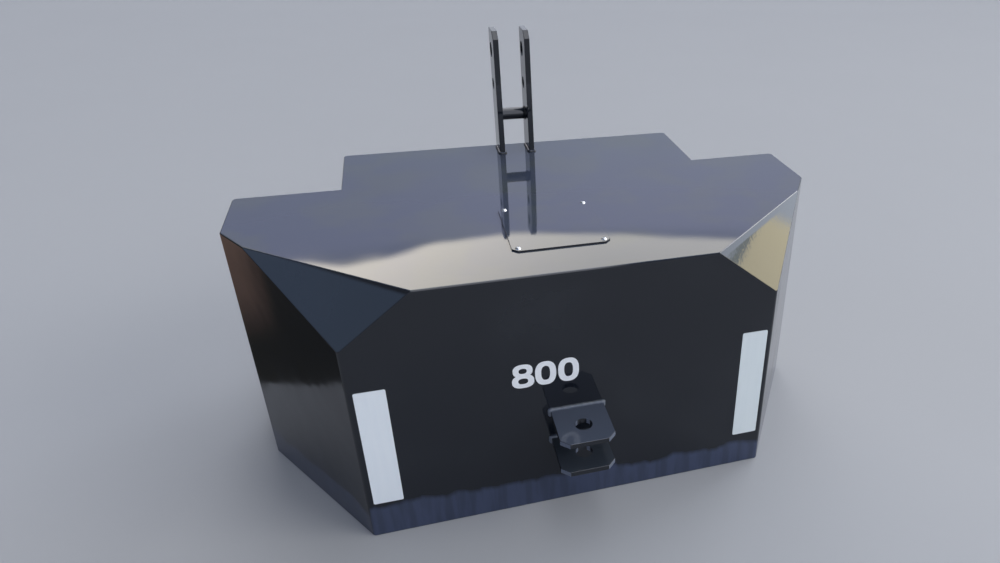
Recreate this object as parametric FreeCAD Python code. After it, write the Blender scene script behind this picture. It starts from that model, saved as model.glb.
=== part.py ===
import FreeCAD, Part
import math
import os

from FreeCAD import Vector

# Three-point ballast weight: a welded steel box cast full of concrete, with a top-link mast, a shaft for
# the lower links and a drawbar jaw at the front. +X is the right side seen from the front, +Y points to
# the tractor, +Z is up. The origin is on the ground, midway between the ends of the whole part.

# Body, in plan a wide front half and a narrower block between two steps for the lower links
body_height = 510.0
front_width = 776.0
overall_width = 1160.0
block_width = 760.0
cheek_depth = 295.0
side_depth = 158.0
block_depth = 202.0
sheet = 6.0
arris_radius = 2.5
upright_radius = 9.0

# Corner plates that cut off the two front top corners, measured from the corner along its three edges
corner_cut_across = 125.0
corner_cut_down = 98.0
corner_cut_back = 273.0

# Top-link mast: two flat bars that pass through the top plate and stand on the bottom plate. Over the top
# plate they are deeper and reach back to the rear face.
mast_gap = 55.0
mast_thickness = 12.0
mast_depth = 60.0
mast_corner = 15.5
mast_rear_corner = 5.0
mast_above_bore = 45.0
top_bore_setback = 24.0
slot_clearance = 0.3
spacer_diameter = 27.0
spacer_above_body = 79.0

# Linkage points: heights of the two top bores above the lower-link axis, and the lower-link pins
lower_link_height = 51.0
small_mast_height = 610.0
large_mast_height = 685.0
small_bore = 25.7
large_bore = 32.3
shoulder_spread = 825.0
pin_diameter = 28.0
pin_length = 65.0
pin_chamfer = 3.0
linch_bore = 12.0
linch_setback = 49.0
shaft_diameter = 36.0
collar_diameter = 60.0
shaft_clearance = 0.25

# Drawbar jaw: two plates welded to the front, with a bore for a drop pin
hitch_width = 100.0
hitch_reach = 103.0
hitch_thickness = 10.0
hitch_gap = 54.0
hitch_top = 225.0
hitch_corner = 15.0
hitch_bore = 32.0
hitch_bore_reach = 55.0

# Filling hatch: a screwed cover with a seal over the opening, and a tapped frame under the top plate
cover_width = 178.0
cover_length = 187.0
cover_thickness = 2.0
cover_corner = 10.0
cover_setback = 88.5
seal_thickness = 1.0
screw_edge_x = 11.2
screw_edge_y = 9.8
opening_width = 120.0
opening_length = 130.0
opening_radius = 15.0
seat_thickness = 10.0
screw_diameter = 6.0
screw_length = 16.0
screw_hole = 6.6
thread_clearance = 0.1
head_diameter = 10.5
head_height = 3.3
socket_width = 4.0
socket_depth = 2.0

# Reflective sheets on the front face
reflector_width = 52.0
reflector_height = 250.0
reflector_thickness = 1.0
reflector_margin = 10.0
reflector_foot = 79.0
reflector_radius = 3.0

# Softened edges of the cut plates
plate_edge = 1.0
cover_edge = 0.5

# Places along Y, from the front face back
body_depth = cheek_depth + side_depth + block_depth
front_y = hitch_reach - (hitch_reach + body_depth) / 2
wing_y = front_y + cheek_depth + side_depth
rear_y = front_y + body_depth
mast_rear = rear_y - sheet
mast_front = mast_rear - mast_depth
link_y = (mast_front + mast_rear) / 2
top_bore_y = rear_y - top_bore_setback
mast_top = lower_link_height + large_mast_height + mast_above_bore

RIGHT = 1
LEFT = -1
SIDES = {"right": RIGHT, "left": LEFT}


def face_plane(normal, point):
    """A flat face of the body as its outward unit normal and its distance from the origin."""
    unit = Vector(normal).normalize()
    return unit, unit.dot(point)


def body_planes():
    """Every flat face of the body, by name."""
    half_front = front_width / 2
    half_wide = overall_width / 2
    half_block = block_width / 2
    planes = {
        "top": face_plane(Vector(0, 0, 1), Vector(0, 0, body_height)),
        "bottom": face_plane(Vector(0, 0, -1), Vector(0, 0, 0)),
        "front": face_plane(Vector(0, -1, 0), Vector(0, front_y, 0)),
        "rear": face_plane(Vector(0, 1, 0), Vector(0, rear_y, 0)),
    }
    for side, sign in SIDES.items():
        run = Vector(sign * (half_wide - half_front), cheek_depth, 0)
        outward = Vector(sign * run.y, -abs(run.x), 0)
        corner = Vector(sign * half_front, front_y, body_height)
        along = Vector(run).normalize() * corner_cut_back
        cut_across = corner - Vector(sign * corner_cut_across, 0, 0)
        cut_down = corner - Vector(0, 0, corner_cut_down)
        cut_back = corner + along
        cut_normal = (cut_down - cut_across).cross(cut_back - cut_across) * sign
        planes["cheek_" + side] = face_plane(outward, corner)
        planes["corner_" + side] = face_plane(cut_normal, cut_across)
        planes["side_" + side] = face_plane(Vector(sign, 0, 0), Vector(sign * half_wide, 0, 0))
        planes["wing_" + side] = face_plane(Vector(0, 1, 0), Vector(0, wing_y, 0))
        planes["block_" + side] = face_plane(Vector(sign, 0, 0), Vector(sign * half_block, 0, 0))
    return planes


WALLS = ["front", "cheek_right", "side_right", "wing_right", "block_right",
         "rear", "block_left", "wing_left", "side_left", "cheek_left"]


def arris_side(index):
    """Left or right when the front top corner above this arris is cut off, else nothing."""
    pair = {WALLS[index], WALLS[(index + 1) % len(WALLS)]}
    for side in SIDES:
        if pair == {"front", "cheek_" + side}:
            return side
    return None


def arris_faces(index):
    return WALLS[index], WALLS[(index + 1) % len(WALLS)]


def foot(index):
    return ("bottom",) + arris_faces(index)


def heads_on_wall(index, wall):
    """Corners at the upper end of an arris that lie on one of its walls, going up."""
    side = arris_side(index)
    if side is None:
        return [("top",) + arris_faces(index)]
    cut = "corner_" + side
    return [(cut,) + arris_faces(index), ("top", wall, cut)]


def heads_on_top(index):
    """Corners at the upper end of an arris that lie on the top, in order round it."""
    side = arris_side(index)
    if side is None:
        return [("top",) + arris_faces(index)]
    return [("top", wall, "corner_" + side) for wall in arris_faces(index)]


def face_loops():
    """Corners round every face of the body, each corner named by the three faces that meet there."""
    loops = {"top": [], "bottom": []}
    for index, wall in enumerate(WALLS):
        before = (index - 1) % len(WALLS)
        loops["top"] += heads_on_top(index)
        loops["bottom"].insert(0, foot(index))
        up = heads_on_wall(index, wall)
        down = heads_on_wall(before, wall)
        loops[wall] = [foot(before), foot(index)] + up + down[::-1]
        side = arris_side(index)
        if side is not None:
            cut = "corner_" + side
            loops[cut] = [(cut,) + arris_faces(index)] + heads_on_top(index)[::-1]
    return loops


def corner_point(corner, planes, depth):
    """Point where three faces meet once each has moved in by the given depth."""
    (n1, d1), (n2, d2), (n3, d3) = [planes[name] for name in corner]
    spread = n1.dot(n2.cross(n3))
    total = n2.cross(n3) * (d1 - depth) + n3.cross(n1) * (d2 - depth) + n1.cross(n2) * (d3 - depth)
    return total * (1.0 / spread)


def flat(points):
    return Part.Face(Part.makePolygon(list(points) + [points[0]]))


def closed(faces):
    solid = Part.Solid(Part.Shell(faces))
    if solid.Volume < 0:
        solid.reverse()
    return solid


def body_envelope(planes, loops, depth):
    """The whole body as one block, with every face moved in by depth."""
    return closed([flat([corner_point(c, planes, depth) for c in loop]) for loop in loops.values()])


def mitred_plate(loop, planes):
    """One plate of the box, its edges cut back at half the angle to each neighbour."""
    outer = [corner_point(c, planes, 0.0) for c in loop]
    inner = [corner_point(c, planes, sheet) for c in loop]
    faces = [flat(outer), flat(inner)]
    for i in range(len(loop)):
        k = (i + 1) % len(loop)
        faces.append(flat([outer[i], outer[k], inner[k], inner[i]]))
    return closed(faces)


def is_upright(edge):
    return abs(edge.tangentAt(edge.FirstParameter).z) > 0.999


def in_step_corner(edge):
    """True for the upright arris in the inward corner of a step, which stays sharp."""
    middle = edge.CenterOfMass
    return math.isclose(abs(middle.x), block_width / 2) and math.isclose(middle.y, wing_y) and is_upright(edge)


def softened_envelope(planes, loops):
    """The body with its arrises ground round, the upright ones more than those of the top and bottom."""
    block = body_envelope(planes, loops, 0.0)
    upright = [edge for edge in block.Edges if is_upright(edge) and not in_step_corner(edge)]
    block = block.makeFillet(upright_radius, upright)
    level = [edge for edge in block.Edges if not is_upright(edge)]
    return block.makeFillet(arris_radius, level)


def box(x0, x1, y0, y1, z0, z1):
    return Part.makeBox(x1 - x0, y1 - y0, z1 - z0, Vector(x0, y0, z0))


def bar(radius, start, axis, length):
    return Part.makeCylinder(radius, length, start, axis)


def clipped_rectangle(x0, x1, y0, y1, z, cut, cut_back_corners):
    """Flat outline with its front corners, and if asked its back corners, cut off at 45 degrees."""
    points = [Vector(x0 + cut, y0, z), Vector(x1 - cut, y0, z), Vector(x1, y0 + cut, z)]
    if cut_back_corners:
        points += [Vector(x1, y1 - cut, z), Vector(x1 - cut, y1, z), Vector(x0 + cut, y1, z),
                   Vector(x0, y1 - cut, z)]
    else:
        points += [Vector(x1, y1, z), Vector(x0, y1, z)]
    points.append(Vector(x0, y0 + cut, z))
    return flat(points)


def rounded_slab(width, length, radius, middle, z, thickness):
    """Rectangular block with upright corners rounded, centred on a point of the plan."""
    slab = box(-width / 2, width / 2, -length / 2, length / 2, 0.0, thickness)
    upright = [edge for edge in slab.Edges if edge.tangentAt(0.0).isEqual(Vector(0, 0, 1), 1e-6)
               or edge.tangentAt(0.0).isEqual(Vector(0, 0, -1), 1e-6)]
    slab = slab.makeFillet(radius, upright)
    slab.translate(Vector(middle.x, middle.y, z))
    return slab


def edges_along_faces(solid, axis):
    """Straight edges of a plate that lie in its two broad faces."""
    found = []
    for edge in solid.Edges:
        if edge.Curve.TypeId == "Part::GeomLine" and abs(edge.Curve.Direction.dot(axis)) < 1e-6:
            found.append(edge)
    return found


def mast_outline(x):
    """Side outline of a mast bar from the bottom plate up, with a step back over the top plate."""
    corners = [(mast_front, sheet), (mast_rear, sheet), (mast_rear, body_height), (rear_y, body_height),
               (rear_y, mast_top - mast_rear_corner), (rear_y - mast_rear_corner, mast_top),
               (mast_front + mast_corner, mast_top), (mast_front, mast_top - mast_corner)]
    return flat([Vector(x, y, z) for y, z in corners])


def mast_plate(sign):
    inner = sign * mast_gap / 2
    plate = mast_outline(inner).extrude(Vector(sign * mast_thickness, 0, 0))
    plate = plate.makeFillet(plate_edge, edges_along_faces(plate, Vector(1, 0, 0)))
    start_x = min(inner, inner + sign * mast_thickness) - 1.0
    length = mast_thickness + 2.0
    holes = [(link_y, lower_link_height, shaft_diameter + 2 * shaft_clearance),
             (top_bore_y, lower_link_height + small_mast_height, small_bore),
             (top_bore_y, lower_link_height + large_mast_height, large_bore)]
    for y, z, diameter in holes:
        plate = plate.cut(bar(diameter / 2, Vector(start_x, y, z), Vector(1, 0, 0), length))
    return plate


def mast_slot(sign):
    """Slot in the top plate that a mast bar passes through."""
    low = sign * mast_gap / 2
    high = low + sign * mast_thickness
    x0 = min(low, high) - slot_clearance
    x1 = max(low, high) + slot_clearance
    return box(x0, x1, mast_front - slot_clearance, mast_rear, body_height - 2 * sheet, body_height + sheet)


def lower_link_shaft():
    """One turned bar through the block, stepped down to a pin at each end."""
    shoulder = shoulder_spread / 2
    tip = shoulder + pin_length
    half = [Vector(0, 0, 0), Vector(0, 0, shaft_diameter / 2), Vector(shoulder, 0, shaft_diameter / 2),
            Vector(shoulder, 0, pin_diameter / 2), Vector(tip - pin_chamfer, 0, pin_diameter / 2),
            Vector(tip, 0, pin_diameter / 2 - pin_chamfer), Vector(tip, 0, 0)]
    right = flat(half).revolve(Vector(0, 0, 0), Vector(1, 0, 0), 360)
    left = right.mirror(Vector(0, 0, 0), Vector(1, 0, 0))
    shaft = right.fuse(left).removeSplitter()
    shaft.translate(Vector(0, link_y, lower_link_height))
    for sign in SIDES.values():
        start = Vector(sign * (shoulder + linch_setback), link_y, lower_link_height - pin_diameter)
        shaft = shaft.cut(bar(linch_bore / 2, start, Vector(0, 0, 1), 2 * pin_diameter))
    return shaft


def link_collar(sign):
    """Ring welded to the block's side that the lower link's ball bears against."""
    inner = block_width / 2
    length = shoulder_spread / 2 - inner
    start = Vector(inner if sign > 0 else -inner - length, link_y, lower_link_height)
    ring = bar(collar_diameter / 2, start, Vector(1, 0, 0), length)
    outer_rim = [edge for edge in ring.Edges if edge.Curve.TypeId == "Part::GeomCircle"
                 and math.isclose(abs(edge.Curve.Center.x), shoulder_spread / 2)]
    ring = ring.makeChamfer(pin_chamfer, outer_rim)
    return ring.cut(bar(shaft_diameter / 2 + shaft_clearance, start, Vector(1, 0, 0), length))


def hitch_plate(top):
    outline = clipped_rectangle(-hitch_width / 2, hitch_width / 2, front_y - hitch_reach, front_y,
                                top - hitch_thickness, hitch_corner, False)
    plate = outline.extrude(Vector(0, 0, hitch_thickness))
    free = [edge for edge in edges_along_faces(plate, Vector(0, 0, 1))
            if edge.CenterOfMass.y < front_y - plate_edge]
    plate = plate.makeFillet(plate_edge, free)
    start = Vector(0, front_y - hitch_bore_reach, top - 2 * hitch_thickness)
    return plate.cut(bar(hitch_bore / 2, start, Vector(0, 0, 1), 3 * hitch_thickness))


cover_middle = Vector(0, front_y + cover_setback + cover_length / 2, 0)
screw_places = [Vector(sx * (cover_width / 2 - screw_edge_x), sy * (cover_length / 2 - screw_edge_y), 0)
                + cover_middle for sx in SIDES.values() for sy in SIDES.values()]


def screw_holes(diameter, z, depth):
    return Part.makeCompound([bar(diameter / 2, p + Vector(0, 0, z), Vector(0, 0, 1), depth)
                              for p in screw_places])


def hatch_opening(z, depth):
    return rounded_slab(opening_width, opening_length, opening_radius, cover_middle, z, depth)


def hatch_layer(z, thickness, edge):
    """A layer of the hatch over the top plate, with clipped corners and clear holes for the screws."""
    x = cover_width / 2
    y0 = cover_middle.y - cover_length / 2
    y1 = cover_middle.y + cover_length / 2
    layer = clipped_rectangle(-x, x, y0, y1, z, cover_corner, True).extrude(Vector(0, 0, thickness))
    if edge:
        rim = [e for e in edges_along_faces(layer, Vector(0, 0, 1)) if e.CenterOfMass.z > z + thickness / 2]
        layer = layer.makeFillet(edge, rim)
    return layer.cut(screw_holes(screw_hole, z - thickness, 3 * thickness))


def hatch_seat_frame():
    """Tapped frame welded under the top plate, round the filling opening."""
    z = body_height - sheet - seat_thickness
    block = box(-cover_width / 2, cover_width / 2, cover_middle.y - cover_length / 2,
                cover_middle.y + cover_length / 2, z, z + seat_thickness)
    frame = block.cut(hatch_opening(z - seat_thickness, 3 * seat_thickness))
    tapped = screw_holes(screw_diameter + 2 * thread_clearance, z - seat_thickness, 3 * seat_thickness)
    return frame.cut(tapped), block


def hatch_screw():
    """Button-head screw, head up, with its seat at the origin."""
    radius = head_diameter / 2
    crown = (radius * radius + head_height * head_height) / (2 * head_height)
    slope = math.asin(radius / crown) / 2
    mid = Vector(crown * math.sin(slope), 0, head_height - crown + crown * math.cos(slope))
    top = Vector(0, 0, head_height)
    rim = Vector(radius, 0, 0)
    dome = Part.Arc(top, mid, rim).toShape()
    shank = screw_diameter / 2
    rest = Part.makePolygon([rim, Vector(shank, 0, 0), Vector(shank, 0, -screw_length),
                             Vector(0, 0, -screw_length), top])
    screw = Part.Face(Part.Wire([dome] + rest.Edges)).revolve(Vector(0, 0, 0), Vector(0, 0, 1), 360)
    across = socket_width / math.sqrt(3)
    hexagon = [Vector(across * math.cos(math.radians(60 * i)), across * math.sin(math.radians(60 * i)),
                      head_height - socket_depth) for i in range(6)]
    return screw.cut(flat(hexagon).extrude(Vector(0, 0, 2 * socket_depth)))


def hatch_screws():
    seat = Vector(0, 0, body_height + seal_thickness + cover_thickness)
    group = []
    for place in screw_places:
        screw = hatch_screw()
        screw.translate(place + seat)
        group.append(screw)
    return Part.makeCompound(group)


def reflector(sign):
    middle_x = sign * (front_width / 2 - reflector_margin - reflector_width / 2)
    sheet_piece = rounded_slab(reflector_width, reflector_height, reflector_radius, Vector(0, 0, 0), 0.0,
                               reflector_thickness)
    sheet_piece.rotate(Vector(0, 0, 0), Vector(1, 0, 0), 90)
    sheet_piece.translate(Vector(middle_x, front_y, reflector_foot + reflector_height / 2))
    return sheet_piece


def build():
    """Every piece of the weight, by name."""
    planes = body_planes()
    loops = face_loops()
    softened = softened_envelope(planes, loops)
    plate_names = {"front": "front_plate", "rear": "rear_plate", "top": "top_plate", "bottom": "bottom_plate"}
    for side in SIDES:
        plate_names["cheek_" + side] = side + "_cheek_plate"
        plate_names["corner_" + side] = side + "_corner_plate"
        plate_names["side_" + side] = side + "_side_plate"
        plate_names["wing_" + side] = side + "_wing_plate"
        plate_names["block_" + side] = side + "_block_plate"
    parts = {plate_names[face]: mitred_plate(loop, planes).common(softened) for face, loop in loops.items()}

    # Mast bars, the round bar between them and their slots in the top plate
    for side, sign in SIDES.items():
        parts[side + "_mast_plate"] = mast_plate(sign)
        parts["top_plate"] = parts["top_plate"].cut(mast_slot(sign))
    spacer_start = Vector(-mast_gap / 2, mast_rear - spacer_diameter / 2, body_height + spacer_above_body)
    parts["mast_spacer"] = bar(spacer_diameter / 2, spacer_start, Vector(1, 0, 0), mast_gap)

    # Lower-link shaft with its collars, through both sides of the block
    parts["lower_link_shaft"] = lower_link_shaft()
    for side, sign in SIDES.items():
        parts[side + "_link_collar"] = link_collar(sign)
        hole_start = Vector(-overall_width / 2, link_y, lower_link_height)
        hole = bar(shaft_diameter / 2 + shaft_clearance, hole_start, Vector(1, 0, 0), overall_width)
        parts[side + "_block_plate"] = parts[side + "_block_plate"].cut(hole)

    # Drawbar jaw
    parts["hitch_upper_plate"] = hitch_plate(hitch_top)
    parts["hitch_lower_plate"] = hitch_plate(hitch_top - hitch_thickness - hitch_gap)

    # Filling hatch
    top = parts["top_plate"].cut(hatch_opening(body_height - 2 * sheet, 4 * sheet))
    parts["top_plate"] = top.cut(screw_holes(screw_hole, body_height - 2 * sheet, 4 * sheet))
    parts["hatch_seat_frame"], seat_block = hatch_seat_frame()
    parts["hatch_seal"] = hatch_layer(body_height, seal_thickness, 0.0).cut(
        hatch_opening(body_height - sheet, 2 * sheet))
    parts["hatch_cover"] = hatch_layer(body_height + seal_thickness, cover_thickness, cover_edge)
    parts["hatch_screws"] = hatch_screws()

    # Concrete, cast round everything that reaches into the box, with a pocket left below the hatch
    fill = body_envelope(planes, loops, sheet).cut(seat_block)
    for name in ["left_mast_plate", "right_mast_plate"]:
        fill = fill.cut(parts[name])
    parts["concrete_fill"] = fill.cut(parts["lower_link_shaft"])

    for side, sign in SIDES.items():
        parts[side + "_reflector"] = reflector(sign)
    return parts


os.makedirs("parts", exist_ok=True)
for name, shape in build().items():
    solids = shape.Solids
    shape = solids[0] if len(solids) == 1 else Part.makeCompound(solids)
    shape.exportStep("parts/" + name + ".step")
    size = shape.BoundBox
    print(f"{name:20s} solids {len(solids)} volume {shape.Volume / 1e6:9.3f} l  valid {shape.isValid()}"
          f"  z {size.ZMin:.1f} to {size.ZMax:.1f}")
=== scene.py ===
import math
import random

import bmesh
import bpy
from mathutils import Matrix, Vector


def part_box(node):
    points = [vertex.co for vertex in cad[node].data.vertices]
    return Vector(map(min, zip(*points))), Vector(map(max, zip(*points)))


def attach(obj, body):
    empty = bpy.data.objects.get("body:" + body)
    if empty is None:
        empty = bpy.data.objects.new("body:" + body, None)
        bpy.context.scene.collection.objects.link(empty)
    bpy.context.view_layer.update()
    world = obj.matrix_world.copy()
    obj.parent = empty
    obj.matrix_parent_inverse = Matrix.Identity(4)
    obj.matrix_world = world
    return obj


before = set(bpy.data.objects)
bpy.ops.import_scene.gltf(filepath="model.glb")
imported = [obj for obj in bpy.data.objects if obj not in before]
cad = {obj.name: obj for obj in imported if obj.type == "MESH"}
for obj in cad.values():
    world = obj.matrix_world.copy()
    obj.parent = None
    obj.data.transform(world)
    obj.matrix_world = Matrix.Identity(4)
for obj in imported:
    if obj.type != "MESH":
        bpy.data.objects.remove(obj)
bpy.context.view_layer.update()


# Black paint. All steel of the weight is welded, ground and shot-blasted, then sprayed in one deep gloss black. The
# coat has a fine orange peel, and the plates under it are not quite flat, so that what they mirror is a little wavy.
# A thin dust lies on faces that look up, and the foot of the walls is pale in upright streaks where splashes dried.
# On the front and the cheeks that foot band is paler and bluer, as dried splash and a painted reflection of the
# floor.
paint_black = (0.0080, 0.0105, 0.0160, 1)
paint_hazed = (0.0130, 0.0162, 0.0225, 1)
paint_dusted = (0.0360, 0.0460, 0.0720, 1)
paint_dusted_patch = (0.0430, 0.0530, 0.0630, 1)
paint_splashed = (0.0380, 0.0420, 0.0500, 1)
paint_roughness = 0.035
peel_size = 0.0036
peel_depth = 0.0000055
plate_wave_size = 0.16
plate_wave_depth = 0.00016
haze_size = 0.22
dust_patch_size = 0.13
splash_height = 0.050
splash_edge = 0.12
streak_width, streak_stretch = 0.045, (1.0, 1.0, 0.2)
run_width, run_stretch = 0.016, (1.0, 1.0, 0.1)
thinnest_between_runs = 0.4
flat_dust_from = 0.55
cut_corner_from, cut_corner_to = 0.42, 0.48


def new_group(name, inputs, outputs):
    """Shader node group with named inputs (name: default) and named outputs."""
    group = bpy.data.node_groups.new(name, "ShaderNodeTree")
    for label, value in inputs.items():
        socket = group.interface.new_socket(label, in_out="INPUT", socket_type="NodeSocketFloat")
        socket.default_value = value
    for label in outputs:
        group.interface.new_socket(label, in_out="OUTPUT", socket_type="NodeSocketFloat")
    return group, group.nodes.new("NodeGroupInput"), group.nodes.new("NodeGroupOutput")


def calc(tree, operation, first, second=None):
    """Math node on two sockets or numbers."""
    node = tree.nodes.new("ShaderNodeMath")
    node.operation = operation
    for socket, value in zip(node.inputs, (first, second)):
        if isinstance(value, bpy.types.NodeSocket):
            tree.links.new(value, socket)
        elif value is not None:
            socket.default_value = value
    return node.outputs[0]


def noise_at(tree, size, detail=2.0, stretch=None):
    """Noise texture whose features are about that many metres across, in the object's own frame."""
    place = tree.nodes.new("ShaderNodeTexCoord").outputs["Object"]
    if stretch is not None:
        scale = tree.nodes.new("ShaderNodeMapping")
        scale.inputs["Scale"].default_value = stretch
        tree.links.new(place, scale.inputs["Vector"])
        place = scale.outputs["Vector"]
    noise = tree.nodes.new("ShaderNodeTexNoise")
    noise.inputs["Detail"].default_value = detail
    tree.links.new(place, noise.inputs["Vector"])
    tree.links.new(calc(tree, "DIVIDE", 1.0, size), noise.inputs["Scale"])
    return noise.outputs["Fac"]


def soft_step(tree, value, start, end):
    """0 to 1 as the value goes from start to end, with soft ends. Start may be the larger."""
    ramp = tree.nodes.new("ShaderNodeMapRange")
    ramp.interpolation_type = "SMOOTHSTEP"
    for socket, given_value in ((ramp.inputs["Value"], value), (ramp.inputs["From Min"], start),
                                (ramp.inputs["From Max"], end)):
        if isinstance(given_value, bpy.types.NodeSocket):
            tree.links.new(given_value, socket)
        else:
            socket.default_value = given_value
    return ramp.outputs["Result"]


def split_vector(tree, vector):
    split = tree.nodes.new("ShaderNodeSeparateXYZ")
    tree.links.new(vector, split.inputs["Vector"])
    return split


sprayed_coat, given, made = new_group(
    "sprayed coat",
    {"Peel Size": peel_size, "Peel Depth": peel_depth, "Wave Size": plate_wave_size, "Wave Depth": plate_wave_depth,
     "Roughness": paint_roughness, "Haze Size": haze_size, "Splash": 0.9, "Splash Height": splash_height,
     "Splash Lean X": 0.0, "Splash Lean Y": 0.0, "Splash Streaks": 0.8},
    ["Height", "Roughness", "Haze", "Dust", "Patch", "Splash And Reflection", "Clipped"])
peel = calc(sprayed_coat, "MULTIPLY", noise_at(sprayed_coat, given.outputs["Peel Size"]), given.outputs["Peel Depth"])
wave = calc(sprayed_coat, "MULTIPLY", noise_at(sprayed_coat, given.outputs["Wave Size"], 2.0),
            given.outputs["Wave Depth"])
sprayed_coat.links.new(calc(sprayed_coat, "ADD", peel, wave), made.inputs["Height"])
haze = noise_at(sprayed_coat, given.outputs["Haze Size"], 5.0)
hazed = soft_step(sprayed_coat, haze, 0.50, 0.78)
sprayed_coat.links.new(hazed, made.inputs["Haze"])
rougher = calc(sprayed_coat, "ADD", calc(sprayed_coat, "MULTIPLY", hazed, 1.2), 1.0)
sprayed_coat.links.new(calc(sprayed_coat, "MULTIPLY", given.outputs["Roughness"], rougher), made.inputs["Roughness"])
facing = split_vector(sprayed_coat, sprayed_coat.nodes.new("ShaderNodeNewGeometry").outputs["Normal"])
height = split_vector(sprayed_coat, sprayed_coat.nodes.new("ShaderNodeTexCoord").outputs["Object"])
settled = soft_step(sprayed_coat, facing.outputs["Z"], flat_dust_from, 1.0)
streak = calc(sprayed_coat, "SUBTRACT", noise_at(sprayed_coat, streak_width, 3.0, stretch=streak_stretch), 0.5)
streaky = calc(sprayed_coat, "MULTIPLY", calc(sprayed_coat, "MULTIPLY", streak, given.outputs["Splash Streaks"]),
               given.outputs["Splash Height"])
lean = calc(sprayed_coat, "ADD", calc(sprayed_coat, "MULTIPLY", height.outputs["X"], given.outputs["Splash Lean X"]),
            calc(sprayed_coat, "MULTIPLY", height.outputs["Y"], given.outputs["Splash Lean Y"]))
wet_line = calc(sprayed_coat, "ADD", calc(sprayed_coat, "ADD", height.outputs["Z"], lean), streaky)
dry_above = calc(sprayed_coat, "MULTIPLY", given.outputs["Splash Height"], 1.0 + splash_edge)
wet_below = calc(sprayed_coat, "MULTIPLY", given.outputs["Splash Height"], 1.0 - splash_edge)
runs = soft_step(sprayed_coat, noise_at(sprayed_coat, run_width, 3.0, stretch=run_stretch), 0.36, 0.60)
between_runs = calc(sprayed_coat, "MULTIPLY", calc(sprayed_coat, "SUBTRACT", 1.0, runs), thinnest_between_runs)
thinner = calc(sprayed_coat, "SUBTRACT", 1.0,
               calc(sprayed_coat, "MULTIPLY", between_runs, given.outputs["Splash Streaks"]))
# Foot band mask: dried splash, and on the front and cheeks also a painted reflection of the pale floor.
splash_and_reflection = calc(sprayed_coat, "MULTIPLY", soft_step(sprayed_coat, wet_line, dry_above, wet_below),
                calc(sprayed_coat, "MULTIPLY", given.outputs["Splash"], thinner))
patchy = calc(sprayed_coat, "ADD", calc(sprayed_coat, "MULTIPLY", haze, 0.5), 0.75)
sprayed_coat.links.new(calc(sprayed_coat, "MULTIPLY", settled, patchy), made.inputs["Dust"])
sprayed_coat.links.new(calc(sprayed_coat, "MULTIPLY", splash_and_reflection, patchy), made.inputs["Splash And Reflection"])
patch = soft_step(sprayed_coat, noise_at(sprayed_coat, dust_patch_size, 2.0), 0.42, 0.64)
sprayed_coat.links.new(patch, made.inputs["Patch"])
both_ways = calc(sprayed_coat, "ABSOLUTE", calc(sprayed_coat, "MULTIPLY", facing.outputs["X"], facing.outputs["Y"]))
sprayed_coat.links.new(soft_step(sprayed_coat, both_ways, cut_corner_from, cut_corner_to), made.inputs["Clipped"])


def new_material(name):
    material = bpy.data.materials.new(name)
    material.use_nodes = True
    tree = material.node_tree
    return material, tree, tree.nodes["Principled BSDF"]


def place_group(tree, group, **values):
    node = tree.nodes.new("ShaderNodeGroup")
    node.node_tree = group
    for label, value in values.items():
        node.inputs[label.replace("_", " ")].default_value = value
    return node


def bump_into(tree, shader, height):
    """Height in metres to the shader's normal."""
    bump = tree.nodes.new("ShaderNodeBump")
    bump.inputs["Distance"].default_value = 1.0
    tree.links.new(height, bump.inputs["Height"])
    tree.links.new(bump.outputs["Normal"], shader.inputs["Normal"])


def blend_colours(tree, mask, first, second):
    mix = tree.nodes.new("ShaderNodeMix")
    mix.data_type = "RGBA"
    tree.links.new(mask, mix.inputs["Factor"])
    for socket, colour in ((mix.inputs["A"], first), (mix.inputs["B"], second)):
        if isinstance(colour, bpy.types.NodeSocket):
            tree.links.new(colour, socket)
        else:
            socket.default_value = colour
    return mix.outputs["Result"]


plate_bulge, given, made = new_group("plate bulge", {"Middle Y": 0.0, "Half Length": 0.3, "Rise": 0.001}, ["Height"])
place = split_vector(plate_bulge, plate_bulge.nodes.new("ShaderNodeTexCoord").outputs["Object"])
past_middle = calc(plate_bulge, "SUBTRACT", place.outputs["Y"], given.outputs["Middle Y"])
off_middle = calc(plate_bulge, "DIVIDE", past_middle, given.outputs["Half Length"])
fall = calc(plate_bulge, "MULTIPLY", calc(plate_bulge, "MULTIPLY", off_middle, off_middle), given.outputs["Rise"])
plate_bulge.links.new(calc(plate_bulge, "MULTIPLY", fall, -1.0), made.inputs["Height"])

edge_roll, given, made = new_group("edge roll", {"Edge Z": 0.5, "Roll": 0.004, "Rise": 0.001}, ["Height"])
place = split_vector(edge_roll, edge_roll.nodes.new("ShaderNodeTexCoord").outputs["Object"])
flat_below = calc(edge_roll, "SUBTRACT", given.outputs["Edge Z"], given.outputs["Roll"])
past_flat = calc(edge_roll, "SUBTRACT", place.outputs["Z"], flat_below)
share = calc(edge_roll, "MAXIMUM", 0.0, calc(edge_roll, "DIVIDE", past_flat, given.outputs["Roll"]))
fall = calc(edge_roll, "MULTIPLY", calc(edge_roll, "MULTIPLY", share, share), given.outputs["Rise"])
edge_roll.links.new(calc(edge_roll, "MULTIPLY", fall, -1.0), made.inputs["Height"])


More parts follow.
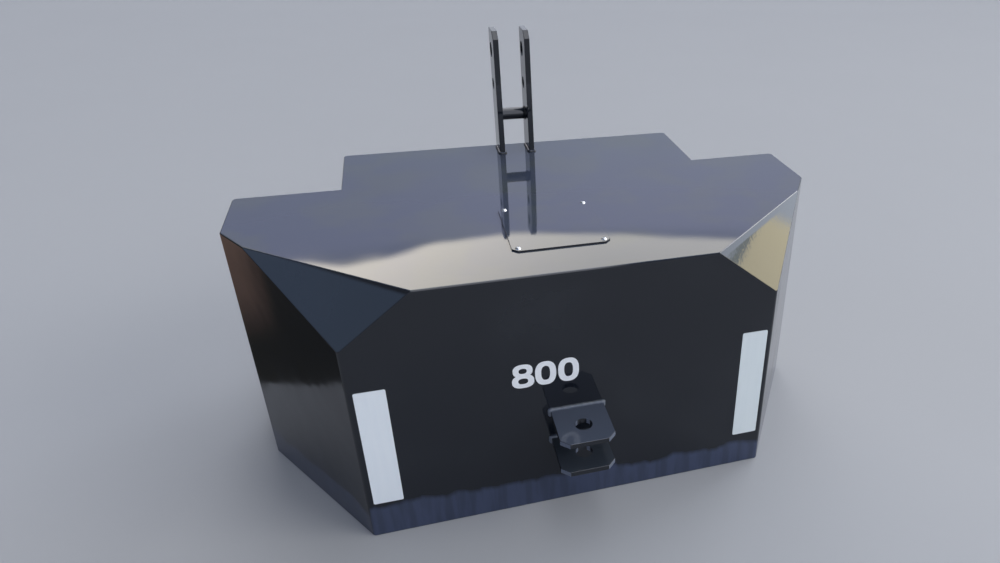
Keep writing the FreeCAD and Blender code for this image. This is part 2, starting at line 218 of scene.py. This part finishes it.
def black_gloss(name, black=paint_black, hazed=paint_hazed, dusted=paint_dusted, dusted_patch=paint_dusted_patch,
                splash_and_reflection=paint_splashed, clipped=None, bulge=None, roll=None, **values):
    """Gloss paint. Clipped is a pale colour painted on upright corners cut at 45 degrees, as a painted highlight.
    Splash and reflection is the colour of the foot band. Bulge gives the middle, half length and rise of a plate
    that stands up in its middle. Roll gives the height, width and drop of a rolled upper edge."""
    material, tree, shader = new_material(name)
    coat = place_group(tree, sprayed_coat, **values)
    colour = blend_colours(tree, coat.outputs["Haze"], black, hazed)
    dust = blend_colours(tree, coat.outputs["Patch"], dusted, dusted_patch)
    colour = blend_colours(tree, coat.outputs["Dust"], colour, dust)
    if clipped is not None:
        colour = blend_colours(tree, coat.outputs["Clipped"], colour, clipped)
    tree.links.new(blend_colours(tree, coat.outputs["Splash And Reflection"], colour, splash_and_reflection), shader.inputs["Base Color"])
    tree.links.new(coat.outputs["Roughness"], shader.inputs["Roughness"])
    height = coat.outputs["Height"]
    if bulge is not None:
        height = calc(tree, "ADD", height, place_group(tree, plate_bulge, **bulge).outputs["Height"])
    if roll is not None:
        height = calc(tree, "ADD", height, place_group(tree, edge_roll, **roll).outputs["Height"])
    bump_into(tree, shader, height)
    return material


def finish_nodes(material, *names):
    for name in names:
        cad[name].data.materials.clear()
        cad[name].data.materials.append(material)


paint_on_plate = black_gloss("paint on plate")


# Shell. Fourteen 6 mm steel plates stand edge to edge as a closed box, with their seams welded outside and ground
# flush, but for the upright seams in the inward corners of the steps, where a grinder can't reach. Welding and
# filling have left the top plate a little domed, the cheeks wavy, and the upper edges of the front and corner plates
# pulled in.
both_sides = ("left", "right")
shell = ["front_plate", "rear_plate", "top_plate", "bottom_plate"]
shell += [side + plate for side in both_sides
          for plate in ("_cheek_plate", "_corner_plate", "_side_plate", "_wing_plate", "_block_plate")]
finish_nodes(paint_on_plate, *shell)
deck_dome = {"Middle_Y": 0.17, "Half_Length": 0.446, "Rise": 0.0121}
paint_on_deck = black_gloss("paint on deck", bulge=deck_dome)
finish_nodes(paint_on_deck, "top_plate")
deck_height = 0.510
# The front and the cheeks get a paler, bluer foot band: partly dried splash, partly a painted reflection of the
# floor.
splash_and_floor_reflection = (0.0450, 0.0610, 0.1150, 1)
foot_band_height = 0.061
paint_on_front = black_gloss("paint on front", splash_and_reflection=splash_and_floor_reflection, Splash_Height=foot_band_height,
                             Splash_Lean_X=0.030, Splash_Streaks=0.7,
                             roll={"Edge_Z": deck_height, "Roll": 0.0040, "Rise": 0.0011})
finish_nodes(paint_on_front, "front_plate")
paint_on_corner = black_gloss("paint on corner", Peel_Size=0.008, Peel_Depth=0.00004,
                              roll={"Edge_Z": deck_height, "Roll": 0.0093, "Rise": 0.00063})
finish_nodes(paint_on_corner, "left_corner_plate", "right_corner_plate")
paint_on_cheek = black_gloss("paint on cheek", splash_and_reflection=splash_and_floor_reflection, Splash=0.6,
                             Splash_Height=foot_band_height, Wave_Size=0.12, Wave_Depth=0.0012, Roughness=0.10)
finish_nodes(paint_on_cheek, "left_cheek_plate", "right_cheek_plate")

paint_on_weld = black_gloss("paint on weld", Peel_Size=0.0022, Peel_Depth=0.00002, Wave_Size=0.02,
                            Wave_Depth=0.0001, Roughness=0.07)
bead_step = 0.0006
bead_ripple_pitch = 0.0026
bead_ripple_depth = 0.10
bead_crescent = 0.55
bead_swell, bead_swell_length = 0.05, 0.031
bead_lump, bead_lump_length = 0.04, 0.0123
bead_drift, bead_drift_length = 0.25, 0.019
bead_sides = 14


def weld_bead(name, line, radius, closed=False, seed=1, paint=paint_on_weld):
    """Rippled bead along a line of (point, outward direction) pairs. Half of it is sunk in the corner it fills."""
    wander = random.Random(seed)
    phases = [wander.uniform(0, math.tau) for _ in range(4)]
    line = [(Vector(p), Vector(out).normalized()) for p, out in line]
    if closed:
        line.append(line[0])
    runs = [(b[0] - a[0]).length for a, b in zip(line, line[1:])]
    total = sum(runs)
    count = max(8, round(total / bead_step))
    rings = []
    run, walked = 0, 0.0
    for i in range(count if closed else count + 1):
        s = total * i / count
        while run < len(runs) - 1 and s > walked + runs[run]:
            walked += runs[run]
            run += 1
        share = (s - walked) / runs[run]
        (p0, o0), (p1, o1) = line[run], line[run + 1]
        along = (p1 - p0).normalized()
        out = o0.lerp(o1, share).normalized()
        side = along.cross(out).normalized()
        swell = (1 + bead_swell * math.sin(math.tau * s / bead_swell_length + phases[0])
                 + bead_lump * math.sin(math.tau * s / bead_lump_length + phases[1]))
        drift = bead_drift * bead_ripple_pitch * math.sin(math.tau * s / bead_drift_length + phases[2])
        end = 1.0 if closed else min(1.0, math.sqrt(min(s, total - s) / radius + 0.02))
        ring = []
        for k in range(bead_sides):
            angle = math.tau * k / bead_sides
            lag = bead_crescent * radius * (1 - math.cos(angle))
            ripple = abs(math.sin(math.pi * (s + drift + lag) / bead_ripple_pitch))
            r = radius * end * swell * (1 - bead_ripple_depth * (1 - ripple))
            ring.append(p0.lerp(p1, share) + (out * math.cos(angle) + side * math.sin(angle)) * r)
        rings.append(ring)
    mesh = bmesh.new()
    rows = [[mesh.verts.new(p) for p in ring] for ring in rings]
    for i in range(len(rows) if closed else len(rows) - 1):
        a, b = rows[i], rows[(i + 1) % len(rows)]
        for k in range(bead_sides):
            n = (k + 1) % bead_sides
            mesh.faces.new((a[k], a[n], b[n], b[k]))
    if not closed:
        mesh.faces.new(rows[0][::-1])
        mesh.faces.new(rows[-1])
    bmesh.ops.recalc_face_normals(mesh, faces=mesh.faces)
    data = bpy.data.meshes.new(name)
    mesh.to_mesh(data)
    mesh.free()
    for face in data.polygons:
        face.use_smooth = True
    bead = bpy.data.objects.new(name, data)
    bpy.context.scene.collection.objects.link(bead)
    data.materials.append(paint)
    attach(bead, "root")
    return bead


step_bead = 0.0045
step_bead_low, step_bead_high = 0.004, 0.006
for side, sign in zip(both_sides, (-1, 1)):
    low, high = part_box(side + "_block_plate")
    corner_x = high.x if sign > 0 else low.x
    corner_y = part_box(side + "_wing_plate")[1].y
    ends = [((corner_x, corner_y, z), (sign, 1, 0)) for z in (low.z + step_bead_low, high.z - step_bead_high)]
    weld_bead(side + "_step_bead", ends, step_bead, seed=3 + sign)


# Filling. Ordinary concrete with rounded gravel, poured through the hatch until it reaches the top plate. It gives
# the weight its 800 kg and can only be seen with the hatch open.
concrete, tree, shader = new_material("concrete")
grit_size, pebbles_per_metre, concrete_relief = 0.006, 60, 0.0006
grit = noise_at(tree, grit_size, 6.0)
pebbles = tree.nodes.new("ShaderNodeTexVoronoi")
pebbles.inputs["Scale"].default_value = pebbles_per_metre
tree.links.new(tree.nodes.new("ShaderNodeTexCoord").outputs["Object"], pebbles.inputs["Vector"])
tree.links.new(blend_colours(tree, grit, (0.34, 0.33, 0.31, 1), (0.50, 0.49, 0.46, 1)), shader.inputs["Base Color"])
shader.inputs["Roughness"].default_value = 0.9
lumps = calc(tree, "ADD", grit, pebbles.outputs["Distance"])
bump_into(tree, shader, calc(tree, "MULTIPLY", lumps, concrete_relief))
finish_nodes(concrete, "concrete_fill")


# Mast. Two flat bars of 60 by 12 mm stand in slots of the top plate, each drilled for two sizes of top-link pin,
# with a round bar welded between them. A bead runs round each foot on three sides and round both ends of the round
# bar.
finish_nodes(paint_on_plate, "left_mast_plate", "right_mast_plate", "mast_spacer")
foot_bead = 0.0042
spacer_bead = 0.0026


def round_rectangle(centre, half_u, half_v, axis_u, axis_v, face, corner=0.0015, sides=4):
    """Bead line round a bar that stands on a face, as (point, outward) pairs. With 3 sides, the +v one is open."""
    centre, u, v, face = Vector(centre), Vector(axis_u), Vector(axis_v), Vector(face)
    line = []
    corners = ((1, 1, 0), (-1, 1, 90), (-1, -1, 180), (1, -1, 270))
    if sides == 3:
        line.append((centre + v * half_v - u * half_u, face - u))
    for su, sv, start in corners if sides == 4 else corners[2:]:
        for turn in (0, 30, 60, 90):
            angle = math.radians(start + turn)
            out = u * math.cos(angle) + v * math.sin(angle)
            middle = centre + u * su * (half_u - corner) + v * sv * (half_v - corner)
            line.append((middle + out * corner, out + face))
    if sides == 3:
        line.append((centre + v * half_v + u * half_u, face + u))
    return line


def round_circle(centre, radius, face, points=72):
    """Bead line round a round bar that stands on a face."""
    centre, face = Vector(centre), Vector(face)
    u = face.orthogonal().normalized()
    v = face.cross(u)
    line = []
    for k in range(points):
        angle = math.tau * k / points
        out = u * math.cos(angle) + v * math.sin(angle)
        line.append((centre + out * radius, out + face))
    return line


X, Y, Z = Vector((1, 0, 0)), Vector((0, 1, 0)), Vector((0, 0, 1))
deck_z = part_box("top_plate")[1].z
foot_bead_back = 0.009
for side, sign in zip(both_sides, (-1, 1)):
    low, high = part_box(side + "_mast_plate")
    high.y -= foot_bead_back
    middle = (low + high) / 2
    foot_line = round_rectangle((middle.x, middle.y, deck_z), (high.x - low.x) / 2, (high.y - low.y) / 2, X, Y, Z,
                                sides=3)
    weld_bead(side + "_mast_foot_bead", foot_line, foot_bead, seed=11 + sign)
    low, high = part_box("mast_spacer")
    middle = (low + high) / 2
    end = (high.x if sign > 0 else low.x, middle.y, middle.z)
    weld_bead(side + "_spacer_bead", round_circle(end, (high.z - low.z) / 2, -X * sign), spacer_bead, True, 15 + sign)


# Lower-link shaft. One turned bar passes through the block and its two stepped ends are the lower-link pins. A turned
# collar sits on it at each side and is welded to the block plate.
finish_nodes(paint_on_plate, "lower_link_shaft", "left_link_collar", "right_link_collar")
collar_bead = 0.004
for side, sign in zip(both_sides, (-1, 1)):
    low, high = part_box(side + "_link_collar")
    middle = (low + high) / 2
    seat = (low.x if sign > 0 else high.x, middle.y, middle.z)
    weld_bead(side + "_collar_bead", round_circle(seat, (high.z - low.z) / 2, X * sign), collar_bead, True, 21 + sign)


# Drawbar jaw. Two 10 mm plates with clipped corners stick out of the front plate, drilled for a drop pin. Each has
# a bead all round where it meets the front. The coat is duller here. The clipped corners are painted pale as a
# painted highlight, and the beads are painted a pale grey-blue as a painted highlight. The upper plate's top has
# pale dust, and the lower plate's top is painted darker, as painted shade under the upper plate.
# The jaw beads are painted a pale grey-blue: a painted highlight for the light they catch.
paint_on_jaw_weld = black_gloss("paint on jaw weld", (0.112, 0.132, 0.170, 1), (0.140, 0.160, 0.200, 1),
                                Roughness=0.16, Peel_Depth=0.00002, Peel_Size=0.0022)
# Pale colour on the clipped corners: a painted highlight.
painted_corner_highlight = (0.100, 0.122, 0.175, 1)
jaw_bead = 0.0052
front_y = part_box("front_plate")[0].y
# Both tops have dust. The lower plate's top is darker than the upper's: painted shade under the upper plate.
for level, dust_and_shade in (("upper", (0.060, 0.074, 0.106, 1)), ("lower", (0.032, 0.040, 0.052, 1))):
    paint_on_jaw = black_gloss("paint on " + level + " jaw plate", dusted=dust_and_shade,
                               dusted_patch=dust_and_shade, clipped=painted_corner_highlight,
                               Roughness=0.09, Peel_Depth=0.00001, Peel_Size=0.0025)
    finish_nodes(paint_on_jaw, "hitch_" + level + "_plate")
    low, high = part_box("hitch_" + level + "_plate")
    middle = (low + high) / 2
    root_line = round_rectangle((middle.x, front_y, middle.z), (high.x - low.x) / 2, (high.z - low.z) / 2, X, Z, -Y)
    weld_bead("hitch_" + level + "_bead", root_line, jaw_bead, True, seed=31 if level == "upper" else 33,
              paint=paint_on_jaw_weld)


# Filling hatch. A 2 mm cover lies on a rubber seal over the filling opening and is held by four zinc-plated
# button-head screws, one in each corner, that go into a tapped frame under the top plate. The cover follows the dome
# of the plate.
finish_nodes(paint_on_deck, "hatch_cover")
finish_nodes(paint_on_plate, "hatch_seat_frame")
rubber, tree, shader = new_material("seal rubber")
rubber_grain, rubber_relief = 0.0009, 0.00006
grain = noise_at(tree, rubber_grain, 3.0)
tree.links.new(blend_colours(tree, grain, (0.014, 0.014, 0.014, 1), (0.028, 0.028, 0.027, 1)),
               shader.inputs["Base Color"])
shader.inputs["Roughness"].default_value = 0.75
bump_into(tree, shader, calc(tree, "MULTIPLY", grain, rubber_relief))
finish_nodes(rubber, "hatch_seal")

zinc, tree, shader = new_material("zinc plating")
zinc_spangle, zinc_relief = 0.0012, 0.00003
turned = noise_at(tree, zinc_spangle, 4.0)
tree.links.new(blend_colours(tree, turned, (0.62, 0.63, 0.64, 1), (0.80, 0.81, 0.82, 1)),
               shader.inputs["Base Color"])
shader.inputs["Metallic"].default_value = 1.0
tree.links.new(calc(tree, "ADD", calc(tree, "MULTIPLY", turned, 0.12), 0.12), shader.inputs["Roughness"])
bump_into(tree, shader, calc(tree, "MULTIPLY", turned, zinc_relief))
finish_nodes(zinc, "hatch_screws")


# Reflective sheets. Two white self-adhesive sheets of 52 by 250 mm on the front plate. Their clear top film is
# smooth, and the backing under it has faint upright streaks and a fine net of cells. The left one is given a
# brighter, bluer white as painted light and the right one a greyer white as painted shade.
sheet_streak_width, sheet_streak_stretch = 0.009, (1.0, 1.0, 0.06)
cells_per_metre, cell_rim, cell_relief = 330, 0.08, 0.0002
# The left sheet's brighter, bluer white is painted light. The right sheet's greyer white is painted shade.
for side, sheet_white, sheet_streak in (("left", (0.83, 0.89, 0.93, 1), (0.75, 0.82, 0.88, 1)),
                                        ("right", (0.75, 0.82, 0.84, 1), (0.68, 0.76, 0.79, 1))):
    reflective, tree, shader = new_material(side + " reflective sheet")
    streaks = noise_at(tree, sheet_streak_width, 3.0, stretch=sheet_streak_stretch)
    cells = tree.nodes.new("ShaderNodeTexVoronoi")
    cells.feature = "DISTANCE_TO_EDGE"
    cells.inputs["Scale"].default_value = cells_per_metre
    cells.inputs["Randomness"].default_value = 0.15
    tree.links.new(tree.nodes.new("ShaderNodeTexCoord").outputs["Object"], cells.inputs["Vector"])
    tree.links.new(blend_colours(tree, streaks, sheet_streak, sheet_white), shader.inputs["Base Color"])
    shader.inputs["Roughness"].default_value = 0.22
    rims = calc(tree, "MINIMUM", cells.outputs["Distance"], cell_rim)
    bump_into(tree, shader, calc(tree, "MULTIPLY", rims, cell_relief))
    finish_nodes(reflective, side + "_reflector")


# Weight figures. The real weight in kilograms, cut out of white film in plain round figures and stuck on the front
# plate over the drawbar jaw.
figure_foot_z = 0.2850
figure_height = 0.0505
figure_middles = (-0.0960, -0.0553, -0.0137)
film_thickness = 0.0003
oval_power = 2.5
oval_points = 96

film, tree, shader = new_material("white film")
film_tone_size, film_grain, film_relief = 0.03, 0.002, 0.000008
film_tone = noise_at(tree, film_tone_size, 3.0)
tree.links.new(blend_colours(tree, film_tone, (0.80, 0.84, 0.88, 1), (0.85, 0.88, 0.91, 1)),
               shader.inputs["Base Color"])
shader.inputs["Roughness"].default_value = 0.3
bump_into(tree, shader, calc(tree, "MULTIPLY", noise_at(tree, film_grain, 2.0), film_relief))


def oval(half_width, low, high):
    """Points round an oval with squarish shoulders, centred on the figure's middle line."""
    middle, half_height = (low + high) / 2, (high - low) / 2
    points = []
    for k in range(oval_points):
        angle = math.tau * k / oval_points
        c, s = math.cos(angle), math.sin(angle)
        points.append((math.copysign(abs(c) ** (2 / oval_power), c) * half_width,
                       middle + math.copysign(abs(s) ** (2 / oval_power), s) * half_height))
    return points


def figure(name, middle_x, outlines):
    """Flat figure cut out of film. The first outline is its outside and the others are holes."""
    curve = bpy.data.curves.new(name, "CURVE")
    curve.dimensions = "2D"
    curve.fill_mode = "BOTH"
    curve.extrude = film_thickness / 2
    for outline in outlines:
        spline = curve.splines.new("POLY")
        spline.points.add(len(outline) - 1)
        for point, (x, z) in zip(spline.points, outline):
            point.co = (x, z, 0, 1)
        spline.use_cyclic_u = True
    drawn = bpy.data.objects.new(name, curve)
    bpy.context.scene.collection.objects.link(drawn)
    drawn.rotation_euler = (math.radians(90), 0, 0)
    drawn.location = (middle_x, front_y - film_thickness / 2, figure_foot_z)
    bpy.context.view_layer.update()
    data = bpy.data.meshes.new_from_object(drawn.evaluated_get(bpy.context.evaluated_depsgraph_get()))
    data.transform(drawn.matrix_world)
    bpy.data.objects.remove(drawn)
    piece = bpy.data.objects.new(name, data)
    bpy.context.scene.collection.objects.link(piece)
    data.materials.clear()
    data.materials.append(film)
    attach(piece, "root")


zero = [oval(0.0190, 0.0, figure_height), oval(0.0080, 0.0102, figure_height - 0.0098)]
lower_bowl, upper_bowl, waist = oval(0.0198, 0.0, 0.0284), oval(0.0176, 0.0238, figure_height), 0.0262
outside = [p for p in lower_bowl if p[1] < waist] + [p for p in upper_bowl if p[1] > waist]
outside.sort(key=lambda p: math.atan2(p[1] - waist, p[0]))
eight = [outside, oval(0.0088, 0.0086, 0.0206), oval(0.0072, 0.0308, 0.0418)]
figure("figure_eight", figure_middles[0], eight)
figure("figure_zero_middle", figure_middles[1], zero)
figure("figure_zero_right", figure_middles[2], zero)


# Studio. A plain pale matt floor, a low screen of dark cloth at the left, one large softbox at the right, and a plain
# surround.
floor_pale = (0.375, 0.388, 0.408, 1)
floor_mottle = tuple(c * 1.03 for c in floor_pale[:3]) + (1,)
floor_mottle_size = 0.5
floor_half = 40.0
floor_mesh = bmesh.new()
bmesh.ops.create_grid(floor_mesh, x_segments=2, y_segments=2, size=floor_half)
floor_data = bpy.data.meshes.new("floor")
floor_mesh.to_mesh(floor_data)
floor_mesh.free()
floor = bpy.data.objects.new("floor", floor_data)
bpy.context.scene.collection.objects.link(floor)
floor_paint, tree, shader = new_material("floor paint")
tree.links.new(blend_colours(tree, noise_at(tree, floor_mottle_size, 4.0), floor_pale, floor_mottle),
               shader.inputs["Base Color"])
shader.inputs["Roughness"].default_value = 0.95
shader.inputs["Specular IOR Level"].default_value = 0.1
floor_data.materials.append(floor_paint)

# The low screen stands on the floor, so that the left cheek mirrors pale floor in its lower part and darkness over
# it. The screen's back upper corner is faded to brown. Only mirroring surfaces see it.
screen_front, screen_back, screen_height = (-0.834, -0.12), (-0.760, 0.377), 0.5
screen_mesh = bmesh.new()
screen_mesh.faces.new([screen_mesh.verts.new(corner) for corner in (
    (*screen_front, 0), (*screen_back, 0), (*screen_back, screen_height), (*screen_front, screen_height))])
screen_data = bpy.data.meshes.new("dark_cloth_screen")
screen_mesh.to_mesh(screen_data)
screen_mesh.free()
screen = bpy.data.objects.new("dark_cloth_screen", screen_data)
bpy.context.scene.collection.objects.link(screen)
screen.visible_camera = screen.visible_diffuse = screen.visible_transmission = screen.visible_shadow = False
cloth_dark, cloth_faded = (0.095, 0.088, 0.062, 1), (0.55, 0.36, 0.27, 1)
cloth, tree, shader = new_material("dark cloth")
place = split_vector(tree, tree.nodes.new("ShaderNodeTexCoord").outputs["Object"])
faded = calc(tree, "MULTIPLY", soft_step(tree, place.outputs["Y"], 0.09, 0.16),
             soft_step(tree, place.outputs["Z"], 0.10, 0.27))
tree.links.new(blend_colours(tree, faded, cloth_dark, cloth_faded), shader.inputs["Base Color"])
shader.inputs["Roughness"].default_value = 1.0
shader.inputs["Specular IOR Level"].default_value = 0.0
screen_data.materials.append(cloth)

# The surround is sky-coloured and gets brighter up to a wide pale ceiling panel behind the object, whose lower edge
# is gently wavy. A narrow strip light runs overhead from back to front and down to the floor. At the right stand a
# pale wall with a warm part and a bright panel over it, and at the left a dark wall with a sky-coloured opening.
# Directions are in degrees, azimuth 0 behind the object and 90 at its right.
lit_panel, given, made = new_group(
    "lit panel", {"Azimuth": 0.0, "Elevation": 0.0, "Middle": 0.0, "Half Width": 30.0, "Side Edge": 5.0,
                  "Low": 0.0, "Low Edge": 1.0, "High": 90.0, "High Edge": 5.0}, ["Mask"])
past_middle = calc(lit_panel, "SUBTRACT", given.outputs["Azimuth"], given.outputs["Middle"])
off_middle = calc(lit_panel, "ABSOLUTE", past_middle)
side_start = calc(lit_panel, "SUBTRACT", given.outputs["Half Width"], given.outputs["Side Edge"])
low_end = calc(lit_panel, "ADD", given.outputs["Low"], given.outputs["Low Edge"])
high_start = calc(lit_panel, "SUBTRACT", given.outputs["High"], given.outputs["High Edge"])
across = soft_step(lit_panel, off_middle, given.outputs["Half Width"], side_start)
above_low = soft_step(lit_panel, given.outputs["Elevation"], given.outputs["Low"], low_end)
under_high = soft_step(lit_panel, given.outputs["Elevation"], given.outputs["High"], high_start)
lit_panel.links.new(calc(lit_panel, "MULTIPLY", across, calc(lit_panel, "MULTIPLY", above_low, under_high)),
                    made.inputs["Mask"])

world = bpy.data.worlds.new("studio surround")
bpy.context.scene.world = world
world.use_nodes = True
tree = world.node_tree
direction = split_vector(tree, tree.nodes.new("ShaderNodeTexCoord").outputs["Generated"])
azimuth = calc(tree, "DEGREES", calc(tree, "ARCTAN2", direction.outputs["X"], direction.outputs["Y"]))
elevation = calc(tree, "DEGREES", calc(tree, "ARCSINE", direction.outputs["Z"]))
surround_gain = 6.0


def surround_colour(red, green, blue):
    return (red / surround_gain, green / surround_gain, blue / surround_gain, 1)


surround = tree.nodes.new("ShaderNodeValToRGB")
surround_stops = [(0.00, (0.46, 0.50, 0.60)), (0.24, (0.85, 0.88, 1.00)), (0.274, (0.57, 0.63, 0.80)),
                  (0.486, (0.96, 1.00, 1.41)), (0.56, (0.34, 0.40, 0.52)), (0.80, (0.26, 0.30, 0.38))]
for stop in range(len(surround_stops) - 2):
    surround.color_ramp.elements.new(0.5)
for stop, (height, colour) in zip(surround.color_ramp.elements, surround_stops):
    stop.position = height
    stop.color = surround_colour(*colour)
tree.links.new(direction.outputs["Z"], surround.inputs["Fac"])
sideways = tree.nodes.new("ShaderNodeMix")
sideways.data_type = "RGBA"
sideways.blend_type = "MULTIPLY"
sideways.inputs["Factor"].default_value = 1.0
tree.links.new(surround.outputs["Color"], sideways.inputs["A"])
tree.links.new(blend_colours(tree, soft_step(tree, direction.outputs["X"], -0.24, 0.36), (0.85, 0.87, 0.88, 1),
                             (1.20, 1.20, 1.16, 1)), sideways.inputs["B"])
in_front = calc(tree, "MULTIPLY", soft_step(tree, direction.outputs["Y"], 0.1, -0.25), 0.4)
around = blend_colours(tree, in_front, sideways.outputs["Result"], (0.0, 0.0, 0.0, 1))


def add_panel(name, around, colour, **places):
    """Surround with one more lit panel in front of it."""
    panel = place_group(tree, lit_panel, **places)
    panel.label = name
    tree.links.new(azimuth, panel.inputs["Azimuth"])
    tree.links.new(elevation, panel.inputs["Elevation"])
    return blend_colours(tree, panel.outputs["Mask"], around, colour), panel


pale = blend_colours(tree, soft_step(tree, azimuth, -14.0, 18.0), surround_colour(6.7, 6.15, 5.45),
                     surround_colour(3.70, 3.58, 3.32))
around, ceiling = add_panel("ceiling", around, pale, Middle=5.0, Half_Width=29.0, Side_Edge=8.0, Low_Edge=1.0,
                            High=40.0, High_Edge=4.0)
edge_line = tree.nodes.new("ShaderNodeValToRGB")
edge_line.color_ramp.interpolation = "EASE"
edge_stops = [(-30.0, 29.7), (-10.0, 29.7), (-6.0, 30.9), (-3.5, 30.7), (2.0, 29.5), (7.0, 29.2), (15.0, 29.8),
              (24.0, 30.4)]
lowest_edge, edge_span = 29.0, 2.0
edge_start, edge_width = -30.0, 60.0
for stop in range(len(edge_stops) - 2):
    edge_line.color_ramp.elements.new(0.5)
for stop, (at, low) in zip(edge_line.color_ramp.elements, edge_stops):
    grey = (low - lowest_edge) / edge_span
    stop.position = (at - edge_start) / edge_width
    stop.color = (grey, grey, grey, 1)
tree.links.new(calc(tree, "DIVIDE", calc(tree, "SUBTRACT", azimuth, edge_start), edge_width), edge_line.inputs["Fac"])
tree.links.new(calc(tree, "ADD", calc(tree, "MULTIPLY", edge_line.outputs["Color"], edge_span), lowest_edge),
               ceiling.inputs["Low"])
strip_across = calc(tree, "MULTIPLY", soft_step(tree, direction.outputs["X"], -0.06, 0.0),
                    soft_step(tree, direction.outputs["X"], 0.28, 0.22))
strip_in_front = calc(tree, "MULTIPLY", soft_step(tree, direction.outputs["Y"], 0.0, -0.2),
                      soft_step(tree, direction.outputs["Z"], 0.02, 0.10))
strip_along = calc(tree, "MAXIMUM", soft_step(tree, direction.outputs["Z"], 0.60, 0.67), strip_in_front)
strip_light = blend_colours(tree, soft_step(tree, direction.outputs["Y"], -0.1, -0.5),
                            surround_colour(2.8, 2.8, 2.9), surround_colour(1.9, 2.0, 2.3))
around = blend_colours(tree, calc(tree, "MULTIPLY", strip_across, strip_along), around, strip_light)
side_panels = (
    ("dark wall", (0.14, 0.14, 0.15), -72.0, 54.0, 8.0, -6.0, 1.0, 60.0, 8.0),
    ("opening", (0.50, 0.68, 1.03), -92.0, 22.0, 12.0, 20.0, 5.0, 38.0, 5.0),
    ("bright panel", (6.0, 6.0, 6.2), 55.0, 22.0, 5.0, 24.0, 3.0, 42.0, 5.0),
    ("pale wall", (2.95, 3.25, 3.75), 84.0, 28.0, 8.0, 0.0, 4.0, 26.0, 5.0),
    ("warm part", (4.7, 4.25, 2.95), 98.0, 20.0, 1.4, 0.0, 3.0, 15.3, 0.35),
    ("wall rail", (1.6, 1.8, 1.75), 90.0, 10.5, 1.5, 14.9, 0.3, 16.0, 0.4))
for name, colour, middle, half_width, side_edge, low, low_edge, high, high_edge in side_panels:
    around = add_panel(name, around, surround_colour(*colour), Middle=middle, Half_Width=half_width,
                       Side_Edge=side_edge, Low=low, Low_Edge=low_edge, High=high, High_Edge=high_edge)[0]
tree.links.new(around, tree.nodes["Background"].inputs["Color"])
tree.nodes["Background"].inputs["Strength"].default_value = surround_gain


def softbox(name, azimuth, elevation, distance, width, height, radiance, edge):
    """Area lamp with soft edges that looks at the object. Azimuth 0 is behind the object and 90 at its right."""
    a, e = math.radians(azimuth), math.radians(elevation)
    aim = Vector((0, 0, 0.4))
    towards = Vector((math.sin(a) * math.cos(e), math.cos(a) * math.cos(e), math.sin(e)))
    lamp = bpy.data.lights.new(name, "AREA")
    lamp.shape = "RECTANGLE"
    lamp.size, lamp.size_y = width, height
    brightest = max(radiance)
    lamp.color = tuple(c / brightest for c in radiance)
    lamp.energy = brightest * math.pi * width * height
    lamp.use_nodes = True
    nodes = lamp.node_tree
    place = split_vector(nodes, nodes.nodes.new("ShaderNodeNewGeometry").outputs["Parametric"])
    fade = None
    for axis, span in (("X", width), ("Y", height)):
        from_edge = calc(nodes, "MINIMUM", place.outputs[axis], calc(nodes, "SUBTRACT", 1.0, place.outputs[axis]))
        ramp = soft_step(nodes, from_edge, 0.0, edge / span)
        fade = ramp if fade is None else calc(nodes, "MULTIPLY", fade, ramp)
    nodes.links.new(fade, nodes.nodes["Emission"].inputs["Strength"])
    box = bpy.data.objects.new(name, lamp)
    box.location = aim + towards * distance
    box.rotation_euler = (-towards).to_track_quat("-Z", "Y").to_euler()
    bpy.context.scene.collection.objects.link(box)
    box.visible_camera = False


softbox("softbox_right", azimuth=122, elevation=32, distance=9.0, width=5.8, height=4.7, radiance=(4.8, 4.6, 4.3),
        edge=0.9)

bpy.context.scene.view_settings.view_transform = "Standard"


# Camera. A hand-held camera a little over a metre high, in front of the object's left half and turned to its middle.
camera_place = (-0.2386, -1.3731, 1.1238)
camera_turn = (60.759, -1.670, -17.530)
camera_lens = 27.392
camera_shift = (-0.1463, -0.0027)
camera_data = bpy.data.cameras.new("camera")
camera_data.sensor_width = 36.0
camera_data.lens = camera_lens
camera_data.shift_x, camera_data.shift_y = camera_shift
camera = bpy.data.objects.new("camera", camera_data)
camera.location = camera_place
camera.rotation_euler = [math.radians(turn) for turn in camera_turn]
bpy.context.scene.collection.objects.link(camera)
bpy.context.scene.camera = camera
